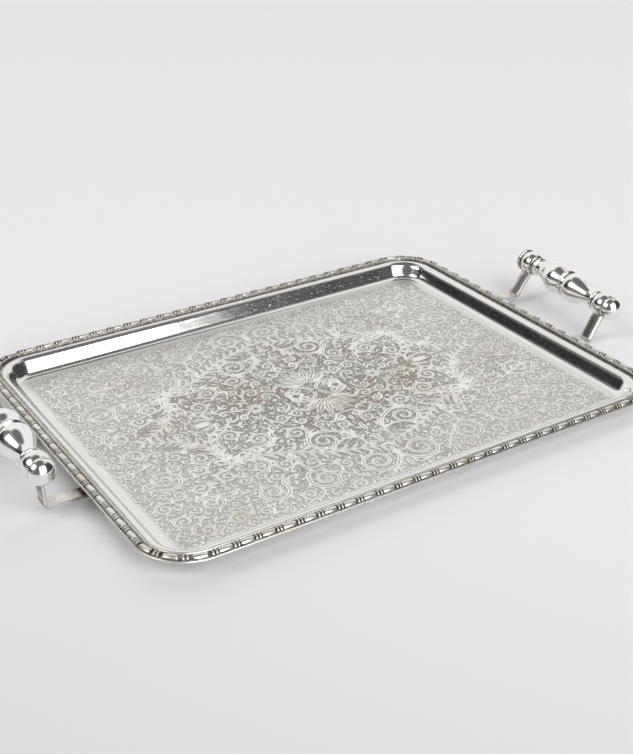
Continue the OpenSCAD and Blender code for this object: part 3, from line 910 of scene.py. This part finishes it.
# strokes whose middle lies in the zone become low ribbons with dark feet
def makeScrolls(name, lowX, highX, lowY, highY):
    lines = [[(sx * x, sy * y, wide) for x, y, wide in line]
             for line in quarter for sx in (-1, 1) for sy in (-1, 1)]
    lines += [[(x, sy * y, wide) for x, y, wide in line] for line in onAxis for sy in (-1, 1)]
    bm = bmesh.new()
    darkening = bm.verts.layers.float.new("tarnish_and_shade")
    for line in lines:
        x = sum(point[0] for point in line) / len(line)
        y = sum(point[1] for point in line) / len(line)
        if not (lowX <= x < highX and lowY <= y < highY):
            continue
        rows = []
        for i, (x, y, wide) in enumerate(line):
            before, after = line[max(0, i - 1)], line[min(len(line) - 1, i + 1)]
            aside = Vector((before[1] - after[1], after[0] - before[0])).normalized()
            row = []
            deep = 1 - scrollwork["faint"] * min(1.0, max(0.0, math.hypot(x / 150, y / 108) - 0.35))
            foot, high = wide + scrollwork["outline"], scrollwork["high"]
            for away, lift, dark in ((foot, 0, deep), (wide, high, 0),
                                     (0, high + scrollwork["crown"], 0),
                                     (-wide, high, 0), (-foot, 0, deep)):
                vert = bm.verts.new((x + away * aside.x, y + away * aside.y, scrollwork["base"] + lift))
                vert[darkening] = dark
                row.append(vert)
            rows.append(row)
        for first, second in zip(rows, rows[1:]):
            for i in range(4):
                bm.faces.new((first[i], first[i + 1], second[i + 1], second[i]))
    bm.normal_update()
    turned = [face for face in bm.faces if face.normal.z < 0]
    bmesh.ops.reverse_faces(bm, faces=turned)
    return settle(bm, name, scrollSilver, (), 60, False)


for across, lowX, highX in (("left", -200, -60), ("middle", -60, 60), ("right", 60, 200)):
    for depth, lowY, highY in (("front", -200, 0), ("back", 0, 200)):
        makeScrolls("scrolls_" + across + "_" + depth, lowX, highX, lowY, highY)
print("scrollwork made")

camera = {
    "place": (-0.43136, -0.67355, 0.43806), "aim": (-0.00083, -0.00248, 0.0136),
    "lens": 60.25, "sensor": 36, "near": 0.01,
}


def makeCamera():
    data = bpy.data.cameras.new("camera")
    data.lens = camera["lens"]
    data.sensor_width = camera["sensor"]
    data.clip_start = camera["near"]
    piece = bpy.data.objects.new("camera", data)
    piece.location = camera["place"]
    aim = Vector(camera["aim"]) - Vector(camera["place"])
    piece.rotation_euler = aim.to_track_quat("-Z", "Y").to_euler()
    scene.collection.objects.link(piece)
    scene.camera = piece


# floor tones; the near tone is painted shade, a fall-off of light towards the front left
studio = {
    "floor": (0.86, 0.86, 0.87, 1), "cloud": (0.85, 0.85, 0.86, 1), "near": (0.70, 0.70, 0.71, 1),
    "away": (0.9, 0.6, 0.0), "fade": (-0.6, 0.0), "size": 12.0, "drop": 0.0003,
}


def makeFloor():
    material, tree, shader, place = startMaterial("studio_floor")
    tone = noise(tree, place, 1.4, 2.0)
    colour = mixColour(tree, tone, studio["cloud"], studio["floor"])
    # the floor darkens towards the front left: painted fall-off of the light
    away = addNode(tree, "ShaderNodeVectorMath", {0: place, 1: studio["away"]}, operation="DOT_PRODUCT")
    fade = remap(tree, away.outputs["Value"], *studio["fade"], 1.0, 0.0, True)
    colour = mixColour(tree, fade, colour, studio["near"])
    feed(tree, shader.inputs["Base Color"], colour)
    shader.inputs["Roughness"].default_value = 0.75
    shader.inputs["Specular IOR Level"].default_value = 0.2
    bm = bmesh.new()
    bmesh.ops.create_grid(bm, x_segments=8, y_segments=8, size=studio["size"] / 2)
    bmesh.ops.translate(bm, vec=(0, 0, -studio["drop"]), verts=bm.verts)
    mesh = bpy.data.meshes.new("studio_floor")
    bm.to_mesh(mesh)
    bm.free()
    mesh.materials.append(material)
    piece = bpy.data.objects.new("studio_floor", mesh)
    scene.collection.objects.link(piece)


# the room as the silver sees it, in degrees: bearing from the front, with right as plus,
# and height; later patches lie over earlier ones
room = {
    "pale": 0.94, "camera": (0.80, 0.80, 0.81, 1), "soft": 6.0,
    "patches": (
        {"bearing": (-78, -26), "height": (-8, 66), "level": 0.15},
        {"bearing": (17, 98), "height": (-8, 50), "level": 0.05},
        {"bearing": (32, 74), "height": (44, 68), "level": 0.10},
        {"bearing": (-152, -78), "height": (-4, 62), "level": 0.16},
        {"bearing": (-154, -112), "height": (-4, 24), "level": 0.03},
        {"bearing": (-190, 190), "height": (63, 120), "level": 0.16},
        {"bearing": (-26, 15), "height": (3, 18), "level": 2.2},
    ),
}


def makeRoom():
    world = bpy.data.worlds.new("studio_room")
    scene.world = world
    world.use_nodes = True
    tree = world.node_tree
    heading = addNode(tree, "ShaderNodeTexCoord").outputs["Generated"]
    x, y, z = addNode(tree, "ShaderNodeSeparateXYZ", {0: heading}).outputs
    bearing = maths(tree, "ARCTAN2", x, maths(tree, "MULTIPLY", y, -1.0))
    bearing = maths(tree, "MULTIPLY", bearing, 180 / math.pi)
    height = maths(tree, "MULTIPLY", maths(tree, "ARCSINE", z), 180 / math.pi)
    value = (room["pale"],) * 3 + (1,)
    soft = room["soft"]
    for patch in room["patches"]:
        share = 1.0
        for angle, (low, high) in ((bearing, patch["bearing"]), (height, patch["height"])):
            rise = remap(tree, angle, low - soft, low + soft, 0.0, 1.0, True)
            fall = remap(tree, angle, high - soft, high + soft, 1.0, 0.0, True)
            share = maths(tree, "MULTIPLY", maths(tree, "MULTIPLY", rise, fall), share)
        value = mixColour(tree, share, value, (patch["level"],) * 3 + (1,))
    seen = addNode(tree, "ShaderNodeLightPath").outputs["Is Camera Ray"]
    value = mixColour(tree, seen, value, room["camera"])
    feed(tree, tree.nodes["Background"].inputs["Color"], value)


lampDistance = 20.0
lamps = (
    {"name": "front_softbox", "bearing": 2, "height": 37, "wide": 54, "tall": 46, "level": 3.2},
    {"name": "left_window", "bearing": -98, "height": 41, "wide": 38, "tall": 29, "level": 3.6},
)


def makeLamps():
    for lamp in lamps:
        bearing, height = math.radians(lamp["bearing"]), math.radians(lamp["height"])
        flat = math.cos(height)
        aim = Vector((math.sin(bearing) * flat, -math.cos(bearing) * flat, math.sin(height)))
        data = bpy.data.lights.new(lamp["name"], "AREA")
        data.shape = "RECTANGLE"
        data.size = 2 * lampDistance * math.tan(math.radians(lamp["wide"] / 2)) * flat
        data.size_y = 2 * lampDistance * math.tan(math.radians(lamp["tall"] / 2))
        data.energy = lamp["level"] * math.pi * data.size * data.size_y
        piece = bpy.data.objects.new(lamp["name"], data)
        piece.location = aim * lampDistance
        piece.rotation_euler = (-aim).to_track_quat("-Z", "Y").to_euler()
        scene.collection.objects.link(piece)


makeCamera()
makeFloor()
makeRoom()
makeLamps()
print("camera and studio made")
